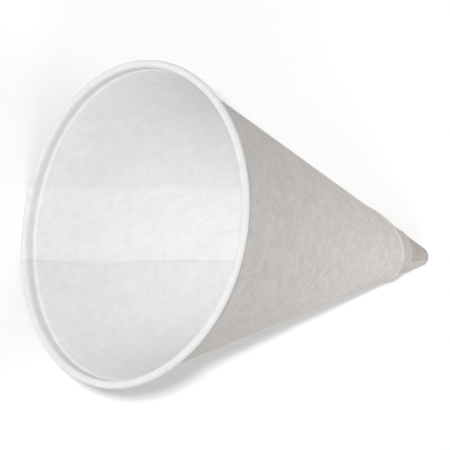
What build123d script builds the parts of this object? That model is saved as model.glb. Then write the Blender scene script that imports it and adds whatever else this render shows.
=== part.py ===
from build123d import *
from math import asin, atan2, cos, degrees, hypot, radians, sin, tan
import os

# Cone paper cup with a rolled rim, lying on its side as it comes to rest.
#
# One sheet is wound three times round a pointed mandrel and glued, so the cup is one solid.
# The wall shows the sheet's four edges: the straight start edge inside, the straight end edge
# that sweeps round the outside, and the two cuts of the notch near the tip.
#
# The cup is drawn upright first, mouth up, with the mandrel's apex at the origin. A place on
# the wall is given by its slant (distance from the apex along the wall), its angle round the
# axis and its offset (distance outside the mandrel).

# Size of the cup, in millimetres and degrees
rim_diameter = 73.0
half_angle = 19.7
tip_radius = 2.1

# Thickness of the sheet
ply = 0.09

# Where the sheet starts and ends. Angles run round the axis, the way the sheet is wound
start_angle = 20.0
end_gap = 18.0
notch_angle = 163.0
notch_reach = 14.5

# Each turn climbs over the start edge along this much of its way round
climb_angle = 3.0

# The rolled rim: a ridge where the wall bends out, a hollow above it, a collar, then the curl
ridge_radius = 0.5
ridge_turn = 18.0
hollow_radius = 1.3
hollow_turn = 36.0
collar_length = 1.2
bead_radius = 0.94
curl_turn = 300.0

# The paper bends round the rim in narrow folds
hollow_folds = 3
curl_folds = 12

# The end edge runs into the rim this far below the ridge
rim_land = 0.3

# The soft roll is pressed shut where the cup lies on it, and flat by this much
flat_depth = 0.45
shut_angle = 14.0

# Levels of the wall, from the mandrel outwards
first_level = ply
second_level = 2 * ply
wall = 3 * ply

# How far the shapes that trim a turn stand proud of the wall
clear_of_wall = 0.4

slope = radians(half_angle)


def wall_point(slant, offset):
    """Radius and height of a place on the wall."""
    return (
        slant * sin(slope) + offset * cos(slope),
        slant * cos(slope) - offset * sin(slope),
    )


def wall_radius(height, offset):
    """Radius of the wall at a height, for a given offset."""
    return height * tan(slope) + offset / cos(slope)


def on_sheet(slant, angle, offset):
    """Point in space of a place on the wound sheet."""
    radius, height = wall_point(slant, offset)
    turn = radians(angle)
    return Vector(radius * cos(turn), radius * sin(turn), height)


def half_plane(angle):
    """Plane through the axis at this angle, its x outwards and its y up the axis."""
    turn = radians(angle)
    return Plane(
        origin=(0, 0, 0), x_dir=(cos(turn), sin(turn), 0), z_dir=(sin(turn), -cos(turn), 0)
    )


def arc_step(radius, heading, turn):
    """Move along an arc that turns clockwise by turn from a heading off the axis."""
    side = 1 if turn > 0 else -1
    first, last = radians(heading), radians(heading + turn)
    return Vector(
        side * radius * (cos(first) - cos(last)), side * radius * (sin(last) - sin(first))
    )


# The rim's path is followed from the ridge to the middle of the bead, which fixes how far
# up the wall the ridge sits for the rim to come out at its diameter
bead_path_radius = bead_radius - wall / 2
ridge_heading = half_angle + ridge_turn
curl_heading = ridge_heading - hollow_turn
to_bead = (
    arc_step(ridge_radius, half_angle, ridge_turn)
    + arc_step(hollow_radius, ridge_heading, -hollow_turn)
    + collar_length * Vector(sin(radians(curl_heading)), cos(radians(curl_heading)))
    + bead_path_radius * Vector(cos(radians(curl_heading)), -sin(radians(curl_heading)))
)
bead_middle_radius = rim_diameter / 2 - bead_radius
ridge_path_radius = bead_middle_radius - to_bead.X
ridge_slant = (ridge_path_radius - wall / 2 * cos(slope)) / sin(slope)
ridge_start = wall_point(ridge_slant, wall / 2)
bead_height = ridge_start[1] + to_bead.Y

# The wall runs into a round tip
tip_middle = tip_radius / sin(slope)


def wall_section(inner, outer, top):
    """Section of the wall between two offsets, from the round tip up to a slant."""
    with BuildSketch() as section:
        with BuildLine():
            outside = CenterArc((0, tip_middle), tip_radius + outer, -90, 90 - half_angle)
            inside = CenterArc((0, tip_middle), tip_radius + inner, -90, 90 - half_angle)
            Line(inside @ 0, outside @ 0)
            Polyline(outside @ 1, wall_point(top, outer), wall_point(top, inner), inside @ 1)
        make_face()
    return section.sketch


def end_edge_slant(angle):
    """Slant of the end edge: a straight cut, beside the line of the start edge."""
    flat_angle = (start_angle + 360 - angle) * sin(slope)
    return end_gap / sin(radians(flat_angle))


def tip_edge_slant(angle):
    """Slant of the cut between the notch and the end edge, widening as it goes round."""
    share = (angle - notch_angle) / (start_angle + 360 - notch_angle)
    return notch_reach + (end_edge_slant(start_angle) - notch_reach) * share**2


def cut_surface(slant_at, first_angle, last_angle, steps):
    """Surface across the wall along one cut, running on by a step at both ends."""
    step = (last_angle - first_angle) / steps
    angles = [first_angle + i * step for i in range(-1, steps + 2)]
    foot = Edge.make_spline([on_sheet(slant_at(a), a, -clear_of_wall) for a in angles])
    head = Edge.make_spline([on_sheet(slant_at(a), a, wall + 2 * clear_of_wall) for a in angles])
    return Face.make_surface_from_curves(foot, head)


def missing_turn(level, top, slant_at, first_angle, last_angle, cut_end, steps=20):
    """What a trimmed turn leaves bare outside a level: its part on the tip's side of the cut."""
    with BuildPart() as shell:
        with BuildSketch(half_plane(first_angle)):
            add(wall_section(level, wall + clear_of_wall, top))
        revolve(axis=Axis.Z, revolution_arc=last_angle - first_angle)
    cut = cut_surface(slant_at, first_angle, cut_end, steps)
    return shell.part.split(cut, keep=Keep.ALL).sort_by(Axis.Z)[0]


def climb(inner, outer, foot, low, high):
    """Wedge before the start edge, from a foot up to an outer offset, between two heights."""
    with BuildPart() as wedge:
        for height in (low, high):
            before, edge = start_angle - climb_angle, start_angle
            corners = [
                Vector(wall_radius(height, inner), 0).rotate(Axis.Z, edge),
                Vector(wall_radius(height, outer), 0).rotate(Axis.Z, edge),
                Vector(wall_radius(height, foot), 0).rotate(Axis.Z, before),
                Vector(wall_radius(height, inner), 0).rotate(Axis.Z, before),
            ]
            with BuildSketch(Plane.XY.offset(height)):
                with BuildLine():
                    Polyline(*corners, close=True)
                make_face()
        loft(ruled=True)
    return wedge.part


# The third turn ends at the end edge, and the second at the notch and the cut round the tip
half_way = start_angle + 180
last_angle = start_angle + 360
edge_top = ridge_slant - rim_land
rim_run = degrees(asin(end_gap / (edge_top + bead_radius))) / sin(slope)

bare_places = [
    missing_turn(second_level, edge_top, end_edge_slant, start_angle, half_way, half_way),
    missing_turn(
        second_level, edge_top, end_edge_slant, half_way, last_angle, last_angle - rim_run
    ),
    missing_turn(
        first_level, 2 * notch_reach, tip_edge_slant, notch_angle, last_angle, last_angle
    ),
]

edge_foot = wall_point(end_edge_slant(start_angle), second_level)[1]
edge_head = wall_point(edge_top, second_level)[1]
inside_head = wall_point(ridge_slant, 0)[1]

# Arcs and collar that the rim follows, and the corners of its folds along them
with BuildLine(mode=Mode.PRIVATE):
    ridge = JernArc(ridge_start, (sin(slope), cos(slope)), ridge_radius, -ridge_turn)
    hollow = JernArc(ridge @ 1, ridge % 1, hollow_radius, hollow_turn)
    collar = Line(hollow @ 1, hollow @ 1 + collar_length * (hollow % 1))
    curl = JernArc(collar @ 1, collar % 1, bead_path_radius, -curl_turn)
rim_corners = [ridge @ 0, ridge @ 1]
rim_corners += [hollow @ (i / hollow_folds) for i in range(1, hollow_folds + 1)]
rim_corners += [curl @ (i / curl_folds) for i in range(curl_folds + 1)]

# Upright cup: three turns and the rolled rim, shut where it lies, less what the cuts leave
# bare, with the climb outside and the step inside at the start edge
with BuildPart() as upright_cup:
    with BuildSketch(Plane.XZ):
        add(wall_section(0, wall, ridge_slant))
        with BuildLine():
            Polyline(*rim_corners)
        trace(line_width=wall)
    revolve(axis=Axis.Z)
    with BuildSketch(half_plane(-shut_angle)):
        with Locations((bead_middle_radius, bead_height)):
            Circle(bead_path_radius)
    revolve(axis=Axis.Z, revolution_arc=2 * shut_angle)
    add(bare_places, mode=Mode.SUBTRACT)
    add(climb(first_level, wall, second_level, edge_foot, edge_head))
    add(climb(0, second_level, first_level, tip_middle, edge_foot))
    add(climb(-wall, first_level, 0, 2 * tip_middle, inside_head), mode=Mode.SUBTRACT)

# Rest: the cup lies on the flat of its bead and on its tip, on the round of it or on the
# start edge there, whichever is lower, with the tip towards +X
bead_reach = bead_radius - flat_depth
apart = hypot(bead_middle_radius, bead_height - tip_middle)
steep = atan2(bead_middle_radius, bead_height - tip_middle)
edge_down = cos(radians(start_angle)) * cos(steep)
edge_reach = (tip_radius + second_level) * hypot(edge_down, sin(steep))
tip_reach = max(tip_radius + first_level, edge_reach)
lie = steep + asin((bead_reach - tip_reach) / apart)
resting = Plane(
    origin=(0, 0, tip_reach - tip_middle * sin(lie)),
    x_dir=(-sin(lie), 0, -cos(lie)),
    z_dir=(-cos(lie), 0, sin(lie)),
)
bead_below = resting.from_local_coords(Vector(bead_middle_radius, 0, bead_height))

with BuildPart() as lying_cup:
    add(upright_cup.part.moved(resting.location))
    with Locations((bead_below.X, 0, 0)):
        Box(
            4 * bead_radius,
            bead_middle_radius,
            bead_radius,
            align=(Align.CENTER, Align.CENTER, Align.MAX),
            mode=Mode.SUBTRACT,
        )

# The origin is on the floor, under the middle of the cup
extent = lying_cup.part.bounding_box()
with BuildPart() as cone_cup:
    add(lying_cup.part.moved(Location((-extent.center().X, -extent.center().Y, 0))))

cone_cup.part.label = "cone_cup"
os.makedirs("parts", exist_ok=True)
export_step(cone_cup.part, "parts/cone_cup.step")
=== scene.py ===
# %% [markdown]
# A cone paper cup, wound from one sheet
#
# The cup is a single sheet of paper. It is wound three times round a pointed mandrel, glued,
# and its mouth is rolled outwards into a soft bead. This lesson draws the flat sheet first,
# with its four edges where the paper is really cut, and then lets Geometry Nodes wind it.
# Every edge, step and overlap on the finished cup then comes from the winding itself.

# %% Load the frame
import math
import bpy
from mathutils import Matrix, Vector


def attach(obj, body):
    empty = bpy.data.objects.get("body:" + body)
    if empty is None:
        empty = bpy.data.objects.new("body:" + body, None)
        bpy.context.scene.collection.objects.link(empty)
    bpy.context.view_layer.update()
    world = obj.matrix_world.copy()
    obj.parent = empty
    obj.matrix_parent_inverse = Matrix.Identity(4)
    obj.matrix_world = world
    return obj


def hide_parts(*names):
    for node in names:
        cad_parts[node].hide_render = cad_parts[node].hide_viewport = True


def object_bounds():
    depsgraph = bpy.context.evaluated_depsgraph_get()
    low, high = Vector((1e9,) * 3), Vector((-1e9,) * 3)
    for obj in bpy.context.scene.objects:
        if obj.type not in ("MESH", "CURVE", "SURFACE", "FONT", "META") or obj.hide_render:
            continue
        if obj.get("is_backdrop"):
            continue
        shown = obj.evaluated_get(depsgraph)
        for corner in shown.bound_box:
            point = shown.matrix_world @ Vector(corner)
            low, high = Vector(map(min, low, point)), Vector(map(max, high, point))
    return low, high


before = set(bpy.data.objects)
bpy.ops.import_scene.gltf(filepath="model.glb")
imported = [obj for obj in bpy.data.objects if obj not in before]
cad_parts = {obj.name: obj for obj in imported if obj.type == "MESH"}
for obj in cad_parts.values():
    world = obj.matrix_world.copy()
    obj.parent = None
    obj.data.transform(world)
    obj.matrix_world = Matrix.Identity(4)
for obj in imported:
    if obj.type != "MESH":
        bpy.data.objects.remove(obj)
cad_low, cad_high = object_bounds()
print("CAD box", [round(v, 4) for v in (*cad_low, *cad_high)])

import bpy
from mathutils import Matrix, Vector

# %% [markdown]
# The sizes of the cup
#
# A cone cup has few sizes. The ones below are the same driving sizes that the solid has, in
# metres and radians, and the whole round cup is worked out from them. Only what is not quite
# regular on the real cup has values of its own, further down: the lip of the free edge, the
# stray of the start edge and the squeeze of the mouth.

# %% Driving sizes
mm = 0.001
rim_diameter = 73.0 * mm
half_angle = math.radians(19.7)
tip_radius = 2.1 * mm
ply = 0.09 * mm
wall = 3 * ply

start_angle = math.radians(20.0)
notch_angle = math.radians(163.0)
notch_reach = 14.5 * mm
end_gap = 18.0 * mm

ridge_radius = 0.5 * mm
ridge_turn = math.radians(18.0)
hollow_radius = 1.3 * mm
hollow_turn = math.radians(36.0)
collar_length = 1.2 * mm
bead_radius = 0.94 * mm
curl_turn = math.radians(300.0)
flat_depth = 0.45 * mm
print("rim", rim_diameter, "m across, wall", wall, "m")

# %% [markdown]
# The path of the wall
#
# Cut the cup in half and its wall is one line: round the tip, straight up the cone, a small
# ridge where the paper bends out, a hollow, a short collar, and the curl of the bead. Each
# stretch is a line or an arc, so the whole path is a list of turns. A heading is measured off
# the cup's axis.


# %% Follow an arc
def arc_step(radius, heading, turn):
    """Radius and height gained along an arc that starts at a heading, clockwise if positive."""
    side = 1 if turn > 0 else -1
    last = heading + turn
    out = side * radius * (math.cos(heading) - math.cos(last))
    up = side * radius * (math.sin(last) - math.sin(heading))
    return Vector((out, up))


bead_path_radius = bead_radius - wall / 2
ridge_heading = half_angle + ridge_turn
curl_heading = ridge_heading - hollow_turn
to_bead = (
    arc_step(ridge_radius, half_angle, ridge_turn)
    + arc_step(hollow_radius, ridge_heading, -hollow_turn)
    + collar_length * Vector((math.sin(curl_heading), math.cos(curl_heading)))
    + bead_path_radius * Vector((math.cos(curl_heading), -math.sin(curl_heading)))
)
bead_middle_radius = rim_diameter / 2 - bead_radius
ridge_slant = (
    bead_middle_radius - to_bead.x - wall / 2 * math.cos(half_angle)
) / math.sin(half_angle)
bead_height = (
    ridge_slant * math.cos(half_angle) - wall / 2 * math.sin(half_angle) + to_bead.y
)
print("slant to the ridge", round(ridge_slant / mm, 2), "mm")
print("height of the bead", round(bead_height / mm, 2), "mm")

# %% Lengths along the path, from the tip's end
tip_middle = tip_radius / math.sin(half_angle)
tip_slant = tip_radius / math.tan(half_angle)
tip_turn = math.pi / 2 - half_angle
tip_path_radius = tip_radius + wall / 2
tip_length = tip_path_radius * tip_turn


def reach(slant):
    """Distance along the path for a slant, which is measured from the mandrel's apex."""
    return tip_length + slant - tip_slant


ridge_reach = reach(ridge_slant)
hollow_reach = ridge_reach + ridge_radius * ridge_turn
collar_reach = hollow_reach + hollow_radius * hollow_turn
curl_reach = collar_reach + collar_length
end_reach = curl_reach + bead_path_radius * curl_turn
print("path length", round(end_reach / mm, 2), "mm")

# %% [markdown]
# Nodes from expressions
#
# Long formulas are hard to read as chains of nodes. This small class wraps a socket, so that
# an ordinary expression such as 1 - mask adds the Math nodes it needs. Any other node comes
# from one method of the graph, which takes the node's type, its settings and its sockets.


# %% A value that adds its own Math nodes
class Value:
    """A socket in a node tree that behaves like a number."""

    def __init__(self, graph, socket):
        self.graph = graph
        self.socket = socket

    def math(self, operation, *values):
        node = self.graph.node("ShaderNodeMath", {"operation": operation}, self, *values)
        return Value(self.graph, node.outputs[0])

    def __add__(self, other):
        return self.math("ADD", other)

    __radd__ = __add__

    def __mul__(self, other):
        return self.math("MULTIPLY", other)

    __rmul__ = __mul__

    def __sub__(self, other):
        return self.math("SUBTRACT", other)

    def __rsub__(self, other):
        return (self * -1) + other

    def __truediv__(self, other):
        return self.math("DIVIDE", other)

    def sin(self):
        return self.math("SINE")

    def cos(self):
        return self.math("COSINE")

    def floor(self):
        return self.math("FLOOR")

    def limited(self, low, high):
        return self.math("MAXIMUM", low).math("MINIMUM", high)

    def ramp(self, low, high):
        """0 below low, 1 above high and a smooth step between."""
        share = ((self - low) / (high - low)).limited(0, 1)
        return share * share * (3 - 2 * share)

    def between(self, rise, fall):
        """1 between two ramps, each given by its ends, and 0 outside them."""
        return self.ramp(*rise) * (1 - self.ramp(*fall))


class Graph:
    """A node tree that nodes are added to."""

    def __init__(self, tree):
        self.tree = tree

    def node(self, kind, settings=None, *values, **named):
        made = self.tree.nodes.new(kind)
        for key, value in (settings or {}).items():
            setattr(made, key, value)
        for socket, value in zip(made.inputs, values):
            self.plug(socket, value)
        for key, value in named.items():
            self.plug(made.inputs[key.replace("_", " ")], value)
        return made

    def plug(self, socket, value):
        if isinstance(value, Value):
            self.tree.links.new(value.socket, socket)
        elif isinstance(value, bpy.types.NodeSocket):
            self.tree.links.new(value, socket)
        else:
            socket.default_value = value

    def value(self, socket):
        return Value(self, socket)


print("expression helpers ready")

# %% [markdown]
# The flat sheet
#
# The sheet could be drawn as its true flat outline, but a chart is easier to wind: across is
# how many turns round the cone a point lies, and up is its distance along the wall's path.
# The bottom outline of the chart is the paper's real outline: whole round the tip, then the
# notch, the short cut beside it, and the straight end edge that crosses the outer turn.

# %% Where the sheet is cut
full_turn = 2 * math.pi
notch_turn = full_turn + notch_angle - start_angle
flat_share = math.sin(half_angle)


def end_edge_slant(turn):
    """Slant of the straight end edge, end_gap from the line of the start edge."""
    return end_gap / math.sin((3 * full_turn - turn) * flat_share)


def tip_edge_slant(turn):
    """Slant of the cut between the notch and the end edge."""
    share = (turn - notch_turn) / (2 * full_turn - notch_turn)
    return notch_reach + (end_edge_slant(2 * full_turn) - notch_reach) * share**2


def lowest_reach(turn):
    """Where the chart's upper part begins, for each turn of the winding."""
    if turn <= notch_turn:
        return reach(notch_reach)
    if turn <= 2 * full_turn:
        return reach(tip_edge_slant(turn))
    return reach(end_edge_slant(turn))


last_turn = 3 * full_turn - math.asin(end_gap / ridge_slant) / flat_share
print("the sheet is wound", round(last_turn / full_turn, 3), "times")

# %% Columns of the chart
column_step = math.radians(2.25)
rounding = 1e-9


def spaced(first, last, step):
    """Even steps from first to last, without the last."""
    count = math.ceil((last - first) / step - rounding)
    return [first + (last - first) * i / count for i in range(count)]


# Fine columns just past the start edge, so that its step keeps its shape, and half steps
# where the end edge climbs steeply into the rim
start_columns = [math.radians(a) for a in (0, 0.06, 0.15, 0.3, 0.6, 1.1, 1.8)]
start_end = math.radians(2.7)
climb_start = last_turn - math.radians(60)
columns = start_columns + spaced(start_end, full_turn, column_step)
columns += spaced(full_turn, notch_turn, column_step)
columns += spaced(notch_turn, 2 * full_turn, column_step)
columns += spaced(2 * full_turn, climb_start, column_step)
columns += spaced(climb_start, last_turn, column_step / 2) + [last_turn]
print(len(columns), "columns")

# %% Rows of the chart
# Distances from the cut edge, close together where it stands up
edge_rows = [d * mm for d in (0, 0.08, 0.18, 0.3, 0.45, 0.7, 1.2, 2.2, 4.0)]
edge_room = 8 * mm

# Even shares of the wall, and a few more at the slants where the start edge has its kink
wall_parts = 16
kink_slants = [s * mm for s in (82.2, 83.0, 83.5, 83.9, 84.3, 85.0)]
wall_start = notch_reach + edge_rows[-1]
wall_shares = [i / wall_parts for i in range(1, wall_parts)]
wall_shares += [(slant - wall_start) / (ridge_slant - wall_start) for slant in kink_slants]
wall_shares.sort()

rim_rows = (
    spaced(ridge_reach, hollow_reach, 0.1 * mm)
    + spaced(hollow_reach, curl_reach, 0.22 * mm)
    + spaced(curl_reach, end_reach, 0.2 * mm)
    + [end_reach]
)
tip_parts = 7
tip_rows = spaced(0, tip_length, tip_length / tip_parts)
tip_rows += spaced(tip_length, reach(notch_reach), 2 * mm)


def rows_above(low):
    """Heights of one column's points: close together at the cut edge, then even."""
    shrink = min(1, (ridge_reach - low) / edge_room)
    near = [low + d * shrink for d in edge_rows]
    even = [near[-1] + (ridge_reach - near[-1]) * share for share in wall_shares]
    return near + even + rim_rows


print(len(tip_rows), "rows at the tip and", len(rows_above(reach(end_gap))), "above")

# %% [markdown]
# Free edges stand up a little
#
# The glued paper lies flat, but its last half millimetre springs back, most of all on the
# side that faces up here. That lip catches the light along the end edge, and a low swell
# behind it lets the flap run out softly. Both are drawn in the chart as height above the
# sheet, so that the winding carries them round with the rest.

# %% Height of the lip
lip_height = 0.30 * mm
lip_width = 0.60 * mm
lip_curve = 1.5
swell_height = 0.10 * mm
swell_width = 2.6 * mm

# How much of it there is at the notch and on the under side, and where, in degrees past the
# second turn, it rises to all of it and falls again
strength_at_notch = 0.3
strength_below = 0.25
rise = (35, 60)
fall = (262, 300)


def eased(value, low, high):
    """0 below low, 1 above high and a smooth step between."""
    share = min(1.0, max(0.0, (value - low) / (high - low)))
    return share * share * (3 - 2 * share)


def lip_strength(turn):
    """How much the edge stands up: fully where it crosses the top, little underneath."""
    if turn <= 2 * full_turn:
        return strength_at_notch
    past = math.degrees(turn - 2 * full_turn)
    on_top = (1 - strength_below) * eased(past, *rise) * (1 - eased(past, *fall))
    return strength_below + on_top


def lip(turn, from_edge):
    """Height of the sheet's edge above where it would lie flat."""
    if turn < notch_turn:
        return 0.0
    curl = lip_height * max(0.0, 1 - from_edge / lip_width) ** lip_curve
    swell = swell_height * math.exp(-from_edge / swell_width)
    return lip_strength(turn) * (curl + swell)


print("lip", round(lip(2.5 * full_turn, 0) / mm, 3), "mm high at the top")

# %% [markdown]
# The start edge wanders
#
# The start edge was cut straight, but it was tucked in by a machine and pressed by the turns
# that followed, so it strays from a straight line by up to a little over a millimetre, with a
# small kink part of the way up. A crooked cut in the chart would bend its columns, so the
# paper is moved instead: each pair gives a slant and the stray there, both in millimetres.
# The stray turns the first stretch of the sheet a little round the cup, and fades out along
# the glue.

# %% How far the start edge strays
strays = [
    (38.0, 0.0), (52.9, 0.12), (56.7, -0.22), (60.5, -0.5), (70.5, -0.66),
    (77.7, -0.59), (80.5, -0.16), (82.4, 0.02), (84.0, 0.22), (85.0, 0.12),
    (87.9, -0.13), (91.5, -0.38), (95.3, -0.77), (97.8, -1.0), (103.0, -1.35),
]
stray_fade = math.radians(25)


def stray(turn, height):
    """Angle by which the sheet is turned from its straight place, near the start edge."""
    if turn >= stray_fade:
        return 0.0
    slant = (height - tip_length + tip_slant) / mm
    slant_now = min(max(slant, strays[0][0]), strays[-1][0])
    for (low, left), (high, right) in zip(strays, strays[1:]):
        if low <= slant_now <= high:
            along_wall = left + (right - left) * (slant_now - low) / (high - low)
    return along_wall / (slant_now * flat_share) * (1 - eased(turn, 0, stray_fade))


print("start edge strays", round(stray(0, ridge_reach), 4), "radians at the ridge")

# %% Draw the chart
points = []
strayed = []
faces = []


def fill(strips):
    """Join each column of points to the next one with four-sided faces."""
    for left, right in zip(strips, strips[1:]):
        for a, b, c, d in zip(left, right, right[1:], left[1:]):
            faces.append((a, b, c, d))


upper = []
for turn in columns:
    low = lowest_reach(turn)
    column = []
    for height in rows_above(low):
        column.append(len(points))
        points.append((turn / full_turn, height, lip(turn, height - low)))
        strayed.append(stray(turn, height))
    upper.append(column)
fill(upper)

lower = []
for turn, column in zip(columns, upper):
    if turn > notch_turn + rounding:
        break
    below = []
    for height in tip_rows:
        below.append(len(points))
        points.append((turn / full_turn, height, 0.0))
        strayed.append(0.0)
    lower.append(below + [column[0]])
fill(lower)

chart = bpy.data.meshes.new("chart")
chart.from_pydata(points, [], faces)
chart.attributes.new("strayed", "FLOAT", "POINT").data.foreach_set("value", strayed)
cup = bpy.data.objects.new("wound_sheet", chart)
bpy.context.scene.collection.objects.link(cup)
print("chart:", len(points), "points,", len(faces), "faces")

# %% [markdown]
# White paper
#
# The cup is plain uncoated paper. Its white is warm, and mottled where the fibres lie thicker,
# as in any thin paper held to the light. Light also passes through thin paper: the inner face
# looks whiter than the outer one, two plies look lighter than three along the seam inside,
# and round the tip the bare plies look tan. A few specks of bark or dust are pressed into the
# sheet. Letting light through could be left to the render, but a base colour that follows the
# plies is calmer and can be baked. Only that colour and a small bump vary, and the paper is
# matt all over.

# %% Mottle of the paper
paper = bpy.data.materials.new("white_paper")
paper.use_nodes = True
paper.node_tree.nodes.clear()
finish = Graph(paper.node_tree)
place = finish.node("ShaderNodeTexCoord").outputs["Object"]


def mottle(size, detail, roughness):
    """Noise with an even middle of zero, for patches of about this size."""
    sockets = {"Vector": place, "Scale": 1 / size, "Detail": detail, "Roughness": roughness}
    noise = finish.node("ShaderNodeTexNoise", None, **sockets)
    return finish.value(noise.outputs[0]) - 0.5


fibre = mottle(2.2 * mm, 3.5, 0.9)
cloud = mottle(6.0 * mm, 2.0, 0.6)
print("two sizes of mottle")

# %% Plies
def stored(name):
    """A value that the winding stored on the sheet."""
    node = finish.node("ShaderNodeAttribute", {"attribute_name": name})
    return finish.value(node.outputs["Fac"])


turns_now = stored("turns")
slant_now = stored("slant")
gap_side = stored("from_start")
seam_side = stored("past_start")

# The lighter band lies between the end edge's line and the start edge, and reaches on to the
# start edge where that one strays past its line
band_blur = 0.5 * mm
past_line = turns_now.between((0.9995, 1.0), (1.04, 1.05))
band = 1 - gap_side.ramp(end_gap - band_blur, end_gap + band_blur)
band = band.math("MAXIMUM", past_line)

# Beyond the start edge: a thin painted shadow at its step, and a slow painted shade
painted_seam_shadow = 1 - seam_side.ramp(0.05 * mm, 0.4 * mm)
seam_shade = 1 - seam_side.ramp(0, 16 * mm)

# Round the tip, one ply is bare below the short cut beside the notch, and two plies above it
notch_share = notch_turn / full_turn - 1
past_notch = (turns_now - notch_share) / (1 - notch_share)
cut_rise = end_edge_slant(2 * full_turn) - notch_reach
cut_slant = notch_reach + cut_rise * past_notch * past_notch
below_cut = 1 - (slant_now - cut_slant).ramp(0, 0.3 * mm)
one_ply = past_notch.ramp(0, 0.002) * (1 - turns_now.ramp(0.995, 1.0)) * below_cut
second_ply = turns_now.between((0.995, 1.0), (1.995, 2.0))
near_tip = 1 - slant_now.ramp(20 * mm, 70 * mm)
print("plies for the paper's colour")

# %% Specks
# Each has its place and its radius in millimetres, and how dark it is
specks = [
    ((10.6, 4.1, 36.7), 0.34, 0.42),
    ((-15.4, -12.2, 3.3), 0.30, 0.22),
    ((-15.7, -15.3, 5.0), 0.32, 0.18),
    ((-19.8, -19.2, 7.6), 0.32, 0.17),
    ((-19.2, -1.7, 1.0), 0.26, 0.14),
    ((-30.1, -5.0, 1.3), 0.28, 0.10),
    ((-10.5, 10.7, 4.2), 0.26, 0.12),
    ((-7.8, -20.3, 11.5), 0.26, 0.10),
]
speck_dark = finish.value(finish.node("ShaderNodeValue").outputs[0])
speck_dark.socket.default_value = 0.0
for spot, speck_radius, dark in specks:
    spot_place = tuple(v * mm for v in spot)
    apart = finish.node("ShaderNodeVectorMath", {"operation": "DISTANCE"}, place, spot_place)
    away = finish.value(apart.outputs["Value"])
    inside = 1 - away.ramp(0.4 * speck_radius * mm, 1.2 * speck_radius * mm)
    speck_dark = speck_dark + inside * dark
print(len(specks), "specks")

# %% Colour, bump and surface
inner_level = 0.905
outer_level = 0.67

# How strongly each thing shows, and for some of them how much more on the outer face
fibre_share, fibre_more = 0.27, 0.33
cloud_share, cloud_more = 0.06, 0.08
rim_shade_share, rim_shade_more = 0.15, 0.02
band_share = 0.045
seam_shade_share = 0.028
seam_shadow_share = 0.07
hollow_shade_share = 0.07
ridge_highlight_share = 0.11

# Tints of the inner face, the outer face, two plies near the tip and one ply at the tip
inner_tint = (1.0, 0.998, 1.0, 1)
outer_tint = (1.02, 0.98, 0.94, 1)
two_ply_tint = (0.93, 0.86, 0.80, 1)
one_ply_tint = (0.80, 0.72, 0.655, 1)


def mixed(blend, share, first, second):
    """Mix two colours."""
    node = finish.node("ShaderNodeMix", {"data_type": "RGBA", "blend_type": blend})
    finish.plug(node.inputs["Factor"], share)
    finish.plug(node.inputs[6], first)
    finish.plug(node.inputs[7], second)
    return node.outputs[2]


outer = stored("outer_face")
# Painted shade that deepens up the wall towards the rim, a little more on the outer face
up_wall = slant_now.ramp(25 * mm, 100 * mm)
# Painted shade in the hollow between the ridge and the bead, and a painted highlight along the
# ridge
past_ridge = slant_now - ridge_slant
painted_hollow_shade = past_ridge.between((0.15 * mm, 0.8 * mm), (1.3 * mm, 2.2 * mm))
painted_ridge_highlight = past_ridge.between((-0.5 * mm, -0.1 * mm), (0.1 * mm, 0.5 * mm))
fibre_now = (fibre_share + fibre_more * outer) * fibre
cloud_now = (cloud_share + cloud_more * outer) * cloud
pattern = 1 + fibre_now + cloud_now
shade = 1 + band_share * band * (1 - outer) - seam_shade_share * seam_shade
shade = shade - seam_shadow_share * painted_seam_shadow
shade = shade * (1 - hollow_shade_share * painted_hollow_shade + ridge_highlight_share * painted_ridge_highlight)
painted_rim_shade = 1 - (rim_shade_share + rim_shade_more * outer) * up_wall
side_level = (inner_level + (outer_level - inner_level) * outer) * painted_rim_shade
level = side_level * pattern * shade * (1 - speck_dark)
grey = finish.node("ShaderNodeCombineColor", None, level, level, level).outputs[0]
ply_tint = mixed("MIX", outer, inner_tint, outer_tint)
ply_tint = mixed("MIX", second_ply * near_tip, ply_tint, two_ply_tint)
ply_tint = mixed("MIX", one_ply, ply_tint, one_ply_tint)
relief = finish.node(
    "ShaderNodeBump", None, Strength=0.4, Distance=0.05 * mm, Height=fibre + 0.6 * cloud
)
surface = finish.node(
    "ShaderNodeBsdfPrincipled",
    None,
    Base_Color=mixed("MULTIPLY", 1.0, grey, ply_tint),
    Roughness=0.88,
    Normal=relief.outputs[0],
)
finish.node("ShaderNodeOutputMaterial", None, surface.outputs[0])
print("paper has", len(paper.node_tree.nodes), "nodes")

# %% [markdown]
# Wind the sheet
#
# This could be done point by point in Python, but a Geometry Nodes tree keeps the rule in
# one place and can be wound again for another size. For each point the tree walks along the
# path, adding what every stretch gives up to that point, then steps outwards by the paper
# that is already underneath, and turns it round the axis.

# %% Inputs of the tree
winding = bpy.data.node_groups.new("wind the sheet", "GeometryNodeTree")
panel = winding.interface
panel.new_socket("Geometry", in_out="INPUT", socket_type="NodeSocketGeometry")
panel.new_socket("Geometry", in_out="OUTPUT", socket_type="NodeSocketGeometry")
sizes = {
    "Half Angle": half_angle,
    "Start Angle": start_angle,
    "Ply": ply,
    "Tip Radius": tip_path_radius,
    "Tip Middle": tip_middle,
    "Wall Length": ridge_reach - tip_length,
    "Ridge Radius": ridge_radius,
    "Ridge Turn": ridge_turn,
    "Hollow Radius": hollow_radius,
    "Hollow Turn": hollow_turn,
    "Collar Length": collar_length,
    "Bead Radius": bead_path_radius,
}
sockets = {}
for name in sizes:
    sockets[name] = panel.new_socket(name, in_out="INPUT", socket_type="NodeSocketFloat")

tree = Graph(winding)
given = tree.node("NodeGroupInput")
size = {name: tree.value(given.outputs[name]) for name in sizes}
position = tree.node("GeometryNodeInputPosition").outputs[0]
chart_at = tree.node("ShaderNodeSeparateXYZ", None, position)
turns, along, lifted = [tree.value(s) for s in chart_at.outputs]
print("tree takes", len(sizes), "sizes")

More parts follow.
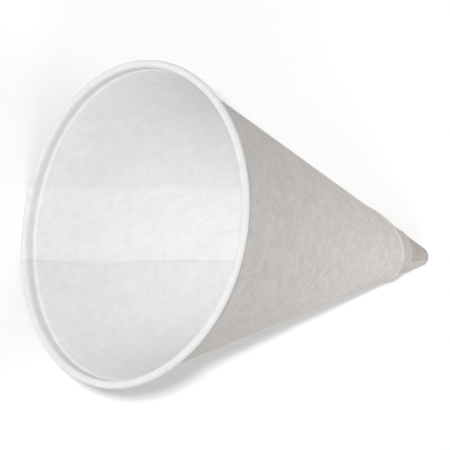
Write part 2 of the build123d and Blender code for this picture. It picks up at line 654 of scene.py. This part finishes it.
# %% Walk along the path
# The walk starts on the axis, at the end of the tip, heading straight outwards
heading = tree.value(tree.node("ShaderNodeValue").outputs[0])
heading.socket.default_value = math.pi / 2
radius = heading * 0
height = size["Tip Middle"] - size["Tip Radius"]
start = radius


def bend(radius_now, height_now, heading_now, start_now, arc_radius, turn, side):
    """One arc of the path: what it adds up to this point, and where the next one starts."""
    length = arc_radius * turn
    turned = (along - start_now).limited(0, length) / arc_radius * side
    last = heading_now + turned
    out = (heading_now.cos() - last.cos()) * arc_radius * side
    up = (last.sin() - heading_now.sin()) * arc_radius * side
    return radius_now + out, height_now + up, last, start_now + length


def run(radius_now, height_now, heading_now, start_now, length):
    """One straight stretch of the path, in the same way."""
    straight = (along - start_now).limited(0, length)
    out = straight * heading_now.sin()
    up = straight * heading_now.cos()
    return radius_now + out, height_now + up, heading_now, start_now + length


walk = (radius, height, heading, start)
walk = bend(*walk, size["Tip Radius"], math.pi / 2 - size["Half Angle"], -1)
walk = run(*walk, size["Wall Length"])
walk = bend(*walk, size["Ridge Radius"], size["Ridge Turn"], 1)
walk = bend(*walk, size["Hollow Radius"], size["Hollow Turn"], -1)
walk = run(*walk, size["Collar Length"])
radius, height, heading, start = walk
curled = (along - start).math("MAXIMUM", 0) / size["Bead Radius"]
last = heading + curled
radius = radius + (heading.cos() - last.cos()) * size["Bead Radius"]
height = height + (last.sin() - heading.sin()) * size["Bead Radius"]
heading = last
print("path of", len(winding.nodes), "nodes so far")

# %% Step outwards by the paper underneath, and turn round the axis
# A point lies as many plies out as it has turns. Only at the very end of the tip all points
# of one turn lie equally far out, so that they meet in the middle.
pole = 1.0 * mm
edge_slack = 1e-5
pole_blend = (along / pole).limited(0, 1)
level = ((turns + edge_slack).floor() + 0.5) * (1 - pole_blend) + turns * pole_blend
offset = level * size["Ply"] - wall / 2 + lifted
radius = radius + heading.cos() * offset
height = height - heading.sin() * offset
read_float = {"data_type": "FLOAT"}
stray_read = tree.node("GeometryNodeInputNamedAttribute", read_float, "strayed")
angle = size["Start Angle"] + turns * full_turn + tree.value(stray_read.outputs[0])
print("each turn lies", ply, "m further out than the one before")

# %% [markdown]
# Not quite round
#
# A paper cup is never a perfect circle. Seen from the mouth, this one is pressed a little
# along one slanting direction. Any such outline is a sum of waves round the rim: one that
# shifts it, one with two lobes that makes it oval, and two that refine it. The squeeze is
# largest at the rim and dies away at the tip.

# %% Squeeze
# Each wave has its number of lobes and its even and odd heights in millimetres
squeeze = [(1, -0.304, -0.130), (2, -0.187, -1.169), (3, -0.359, -0.070), (4, -0.069, 0.037)]
squeeze_lean = math.radians(4.4)
around = angle * -1 + squeeze_lean
oval = around * 0
for lobes, even, odd in squeeze:
    oval = oval + (around * lobes).cos() * (even * mm) + (around * lobes).sin() * (odd * mm)
radius = radius + oval * (along / end_reach)
print("squeezed in", len(squeeze), "waves")

# %% Finish the tree
aside, forward = radius * angle.cos(), radius * angle.sin()
wound = tree.node("ShaderNodeCombineXYZ", None, aside, forward, height)

# Distances on the flat sheet: to the start edge's line that follows, and from the one before
slant_here = along - tip_length + tip_slant
before_start = (1 - turns + (turns + edge_slack).floor()) * full_turn
gap_from_start = slant_here * (before_start * flat_share).sin()
beyond_limit = 1.5
beyond_start = (turns * full_turn).limited(0, beyond_limit)
beyond_start = slant_here * (beyond_start * flat_share).sin()


def keep(geometry, name, value):
    """Store a value on every point, for the material to read."""
    settings = {"data_type": "FLOAT", "domain": "POINT"}
    node = tree.node("GeometryNodeStoreNamedAttribute", settings)
    tree.plug(node.inputs["Geometry"], geometry)
    tree.plug(node.inputs["Name"], name)
    tree.plug(node.inputs["Value"], value)
    return node.outputs[0]


flowing = keep(given.outputs["Geometry"], "from_start", gap_from_start)
flowing = keep(flowing, "past_start", beyond_start)
flowing = keep(flowing, "slant", slant_here)
flowing = keep(flowing, "turns", turns)
moved = tree.node("GeometryNodeSetPosition", None, Geometry=flowing, Position=wound.outputs[0])
weld = 1e-7
welded = tree.node(
    "GeometryNodeMergeByDistance", None, Geometry=moved.outputs[0], Distance=weld
)
smooth = tree.node("GeometryNodeSetShadeSmooth", None, Geometry=welded.outputs[0])
real = tree.node("GeometryNodeRealizeInstances", None, Geometry=smooth.outputs[0])
dressed = tree.node("GeometryNodeSetMaterial", None, Geometry=real.outputs[0], Material=paper)
tree.node("NodeGroupOutput", None, dressed.outputs[0])
print("tree of", len(winding.nodes), "nodes")

# %% Wind it
modifier = cup.modifiers.new("winding", "NODES")
modifier.node_group = winding
for name, length_or_angle in sizes.items():
    modifier[sockets[name].identifier] = length_or_angle
cup.data.materials.append(paper)

# %% [markdown]
# Give the paper its thickness
#
# Solidify grows each turn outwards by just under one ply, which leaves a hair of air between
# the turns, so that no two faces share a place. Its edges become the cut edges of the paper.
# The two faces of the sheet are then told apart, for the paper's colour: the points of one
# face come first in the mesh, and the outer face is the one that lies farther from the axis.

# %% Thickness
ply_share = 0.9
thickness = cup.modifiers.new("thickness", "SOLIDIFY")
thickness.thickness = ply_share * ply
thickness.offset = 1.0
thickness.use_even_offset = False

wound_mesh = bpy.data.meshes.new_from_object(
    cup.evaluated_get(bpy.context.evaluated_depsgraph_get())
)
cup.modifiers.clear()
cup.data = wound_mesh
half = len(wound_mesh.vertices) // 2
from_axis = [v.co.xy.length for v in wound_mesh.vertices]
first_is_outer = float(sum(from_axis[:half]) > sum(from_axis[half:]))
outer_face = wound_mesh.attributes.new("outer_face", "FLOAT", "POINT")
outer_face.data.foreach_set("value", [first_is_outer] * half + [1 - first_is_outer] * half)
print("wound sheet:", len(wound_mesh.vertices), "points, half of them on the outer face")

# %% [markdown]
# Lay the cup down
#
# So far the cup stands upright with its apex at the origin. It could be turned by eye, but a
# cup rests on its tip and on its bead, and the solid's heights of both are known, which gives
# the angle it lies at.

# %% Place it
bead_reach = bead_radius - flat_depth
apart = math.hypot(bead_middle_radius, bead_height - tip_middle)
steep = math.atan2(bead_middle_radius, bead_height - tip_middle)
edge_down = math.cos(start_angle) * math.cos(steep)
edge_reach = (tip_radius + 2 * ply) * math.hypot(edge_down, math.sin(steep))
tip_reach = max(tip_radius + ply, edge_reach)
lie = steep + math.asin((bead_reach - tip_reach) / apart)
axis_up = Vector((-math.cos(lie), 0, math.sin(lie)))
down_side = Vector((-math.sin(lie), 0, -math.cos(lie)))
across = axis_up.cross(down_side)
apex = Vector((cad_high.x - tip_radius - 2 * ply + tip_middle * math.cos(lie), 0, 0))
apex.z = tip_reach - tip_middle * math.sin(lie)
resting = Matrix.Translation(apex) @ Matrix((down_side, across, axis_up)).transposed().to_4x4()
wound_mesh.transform(resting)
print("lies at", round(math.degrees(lie), 3), "degrees")

# %% [markdown]
# Let it settle
#
# The solid's bead is round and pressed flat where it lies. The sheet's bead is whole and its
# mouth is squeezed, so it touches the floor a little elsewhere. The cup is tipped about its
# tip until the lowest points of rim and tip are level, by less than half a degree.

# %% Tip it down
spots = [v.co.copy() for v in wound_mesh.vertices]
rim_low = min((p for p in spots if p.x < 0), key=lambda p: p.z)
tip_low = min((p for p in spots if p.x > 0), key=lambda p: p.z)
tilt = -math.atan2(rim_low.z - tip_low.z, tip_low.x - rim_low.x)
tipped = Matrix.Rotation(tilt, 4, "Y")
settle = Matrix.Translation((tip_low.x, tip_low.y, 0)) @ tipped @ Matrix.Translation(-tip_low)
wound_mesh.transform(settle)
lowest = min(v.co.z for v in wound_mesh.vertices)
wound_mesh.transform(Matrix.Translation((0, 0, -lowest)))
apex = settle @ apex - Vector((0, 0, lowest))
axis_up = tipped.to_3x3() @ axis_up
down_side = tipped.to_3x3() @ down_side
print("tipped by", round(math.degrees(tilt), 3), "degrees")

# %% Hand it to the frame
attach(cup, "root")
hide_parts("cone_cup")
print("the sheet takes the place of the solid")

# %% [markdown]
# Floor, camera and lights
#
# The photograph is a plain studio view on white, taken from high up and from far away. A small
# lamp stands almost on the camera's own line, so only a narrow shadow shows below and to the
# right. Four weak, wider lamps light the mouth, the tip and the lower side, and a pale room
# fills the rest.

# %% Floor
floor_size = 6
floor_white = (0.96, 0.96, 0.96, 1)
bpy.ops.mesh.primitive_plane_add(size=floor_size)
floor = bpy.context.object
floor.name = "floor"
floor_paint = bpy.data.materials.new("floor_paint")
floor_paint.use_nodes = True
floor_surface = floor_paint.node_tree.nodes["Principled BSDF"]
floor_surface.inputs["Base Color"].default_value = floor_white
floor_surface.inputs["Roughness"].default_value = 0.9
floor.data.materials.append(floor_paint)
floor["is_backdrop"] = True
print("floor", floor_size, "m across")

# %% Camera
# As the camera sees it, to the right, downwards and ahead: the way to the middle of the mouth
# in rim radii, the cup's axis towards the tip, and the side that it lies on
bead_plane_middle = apex + axis_up * bead_height
focal_length = 529.3
rim_radius_in_mm = rim_diameter / 2 / mm
to_mouth = Vector((-0.568, -0.007, 40.2136)) * rim_radius_in_mm * mm
axis_seen = Vector((0.71553, 0.08117, 0.69382))
down_seen = Vector((-0.68975, -0.07558, 0.72006))
top_seen = axis_seen.cross(down_seen)
seen = Matrix((axis_seen, down_seen, top_seen)).transposed()
lying = Matrix((-axis_up, down_side, (-axis_up).cross(down_side))).transposed()
turn_to_camera = (seen @ lying.inverted()).to_quaternion().to_matrix()
eye = bead_plane_middle - turn_to_camera.transposed() @ to_mouth
right, below, ahead = turn_to_camera
camera_data = bpy.data.cameras.new("camera")
camera_data.lens = focal_length
camera_data.clip_end = 20
camera = bpy.data.objects.new("camera", camera_data)
camera_turn = Matrix((right, -below, -ahead)).transposed().to_4x4()
camera.matrix_world = Matrix.Translation(eye) @ camera_turn
bpy.context.scene.collection.objects.link(camera)
bpy.context.scene.camera = camera
print("camera at", [round(v, 3) for v in eye])

# %% Lights
world = bpy.data.worlds.new("pale room")
bpy.context.scene.world = world
world.use_nodes = True
room = world.node_tree.nodes["Background"]
room.inputs["Color"].default_value = (1.0, 1.0, 1.0, 1)
room.inputs["Strength"].default_value = 0.37

aim = Vector((0, 0, 0.03))


def soft_light(name, towards, distance, side, power):
    """A square lamp that looks at the middle of the cup from a direction."""
    data = bpy.data.lights.new(name, "AREA")
    data.size = side
    data.energy = power
    lamp = bpy.data.objects.new(name, data)
    lamp.location = aim + towards.normalized() * distance
    lamp.rotation_euler = (aim - lamp.location).to_track_quat("-Z", "Y").to_euler()
    bpy.context.scene.collection.objects.link(lamp)


back = -ahead
up = Vector((0, 0, 1))
aside_of_camera = -0.065
key_way = back + right * aside_of_camera + below * aside_of_camera
into_mouth = Vector((-1, 0, 0.12))
behind_tip = Vector((1, 0, 0.35))
over_tip = Vector((1, 0, 1.3))
lower_side = up * 0.5 + below
soft_light("key", key_way, distance=2.0, side=0.12, power=23.0)
soft_light("into the mouth", into_mouth, distance=2.0, side=0.6, power=4.0)
soft_light("behind the tip", behind_tip, distance=2.0, side=0.8, power=2.9)
soft_light("over the tip", over_tip, distance=0.28, side=0.12, power=0.12)
soft_light("lower side", lower_side, distance=2.0, side=0.8, power=5.0)
bpy.context.scene.view_settings.view_transform = "Standard"
print(len(bpy.data.lights), "lamps placed")

# %% Sizes of what is shown, then finish
low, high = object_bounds()
print("visual box", [round(v, 4) for v in (*low, *high)])
